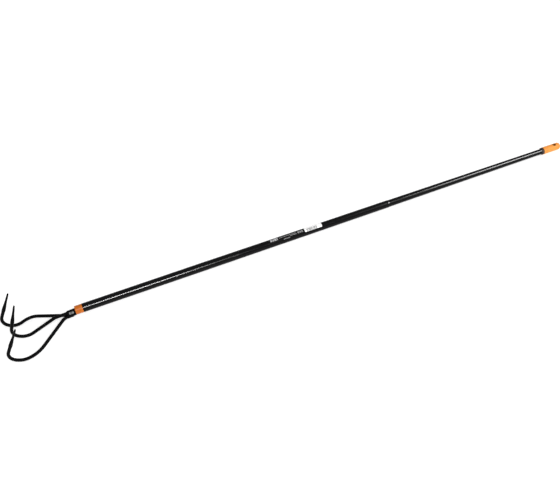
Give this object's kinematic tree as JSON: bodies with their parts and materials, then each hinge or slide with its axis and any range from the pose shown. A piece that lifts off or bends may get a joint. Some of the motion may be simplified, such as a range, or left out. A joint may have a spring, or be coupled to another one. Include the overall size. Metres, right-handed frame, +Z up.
{
  "type": "long-handled hand cultivator",
  "caption": "Long-handled hand cultivator with curved pointed claw tines, a round socket, a tapered painted tube, a plastic collar and a hanging cap with a through hole.",
  "frame": {"origin": "middle of the footprint on the ground: centre of the box's length and width, at its lowest height", "axes": "+X along the shaft from the tines to the hanging cap, +Y towards the left tine, +Z up; the tool lies with its tips up, on its outer tines and its cap"},
  "size_m": [1.6834, 0.1422, 0.1333],
  "materials": {
    "black_paint": "gloss black stove enamel",
    "head_paint": "satin black powder coat",
    "orange_plastic": "moulded orange, semi-gloss",
    "black_plastic": "moulded black",
    "bare_steel": "bare drawn steel",
    "label_paper": "white coated label",
    "silver_ink": "silver-grey printed ink"
  },
  "bodies": {
    "root": {"left_tine": "head_paint", "middle_tine": "head_paint", "right_tine": "head_paint", "tine_socket": "head_paint", "root_weld": "head_paint", "hub_badge": "silver_ink", "head_tang": "bare_steel", "shaft_collar": "orange_plastic", "tang_sleeve": "black_plastic", "tang_lock_pin": "bare_steel", "shaft_tube": "black_paint", "cap_core": "black_plastic", "end_cap": "orange_plastic", "retail_sticker": "label_paper", "printed_marks": "silver_ink"}
  },
  "joints": []
}
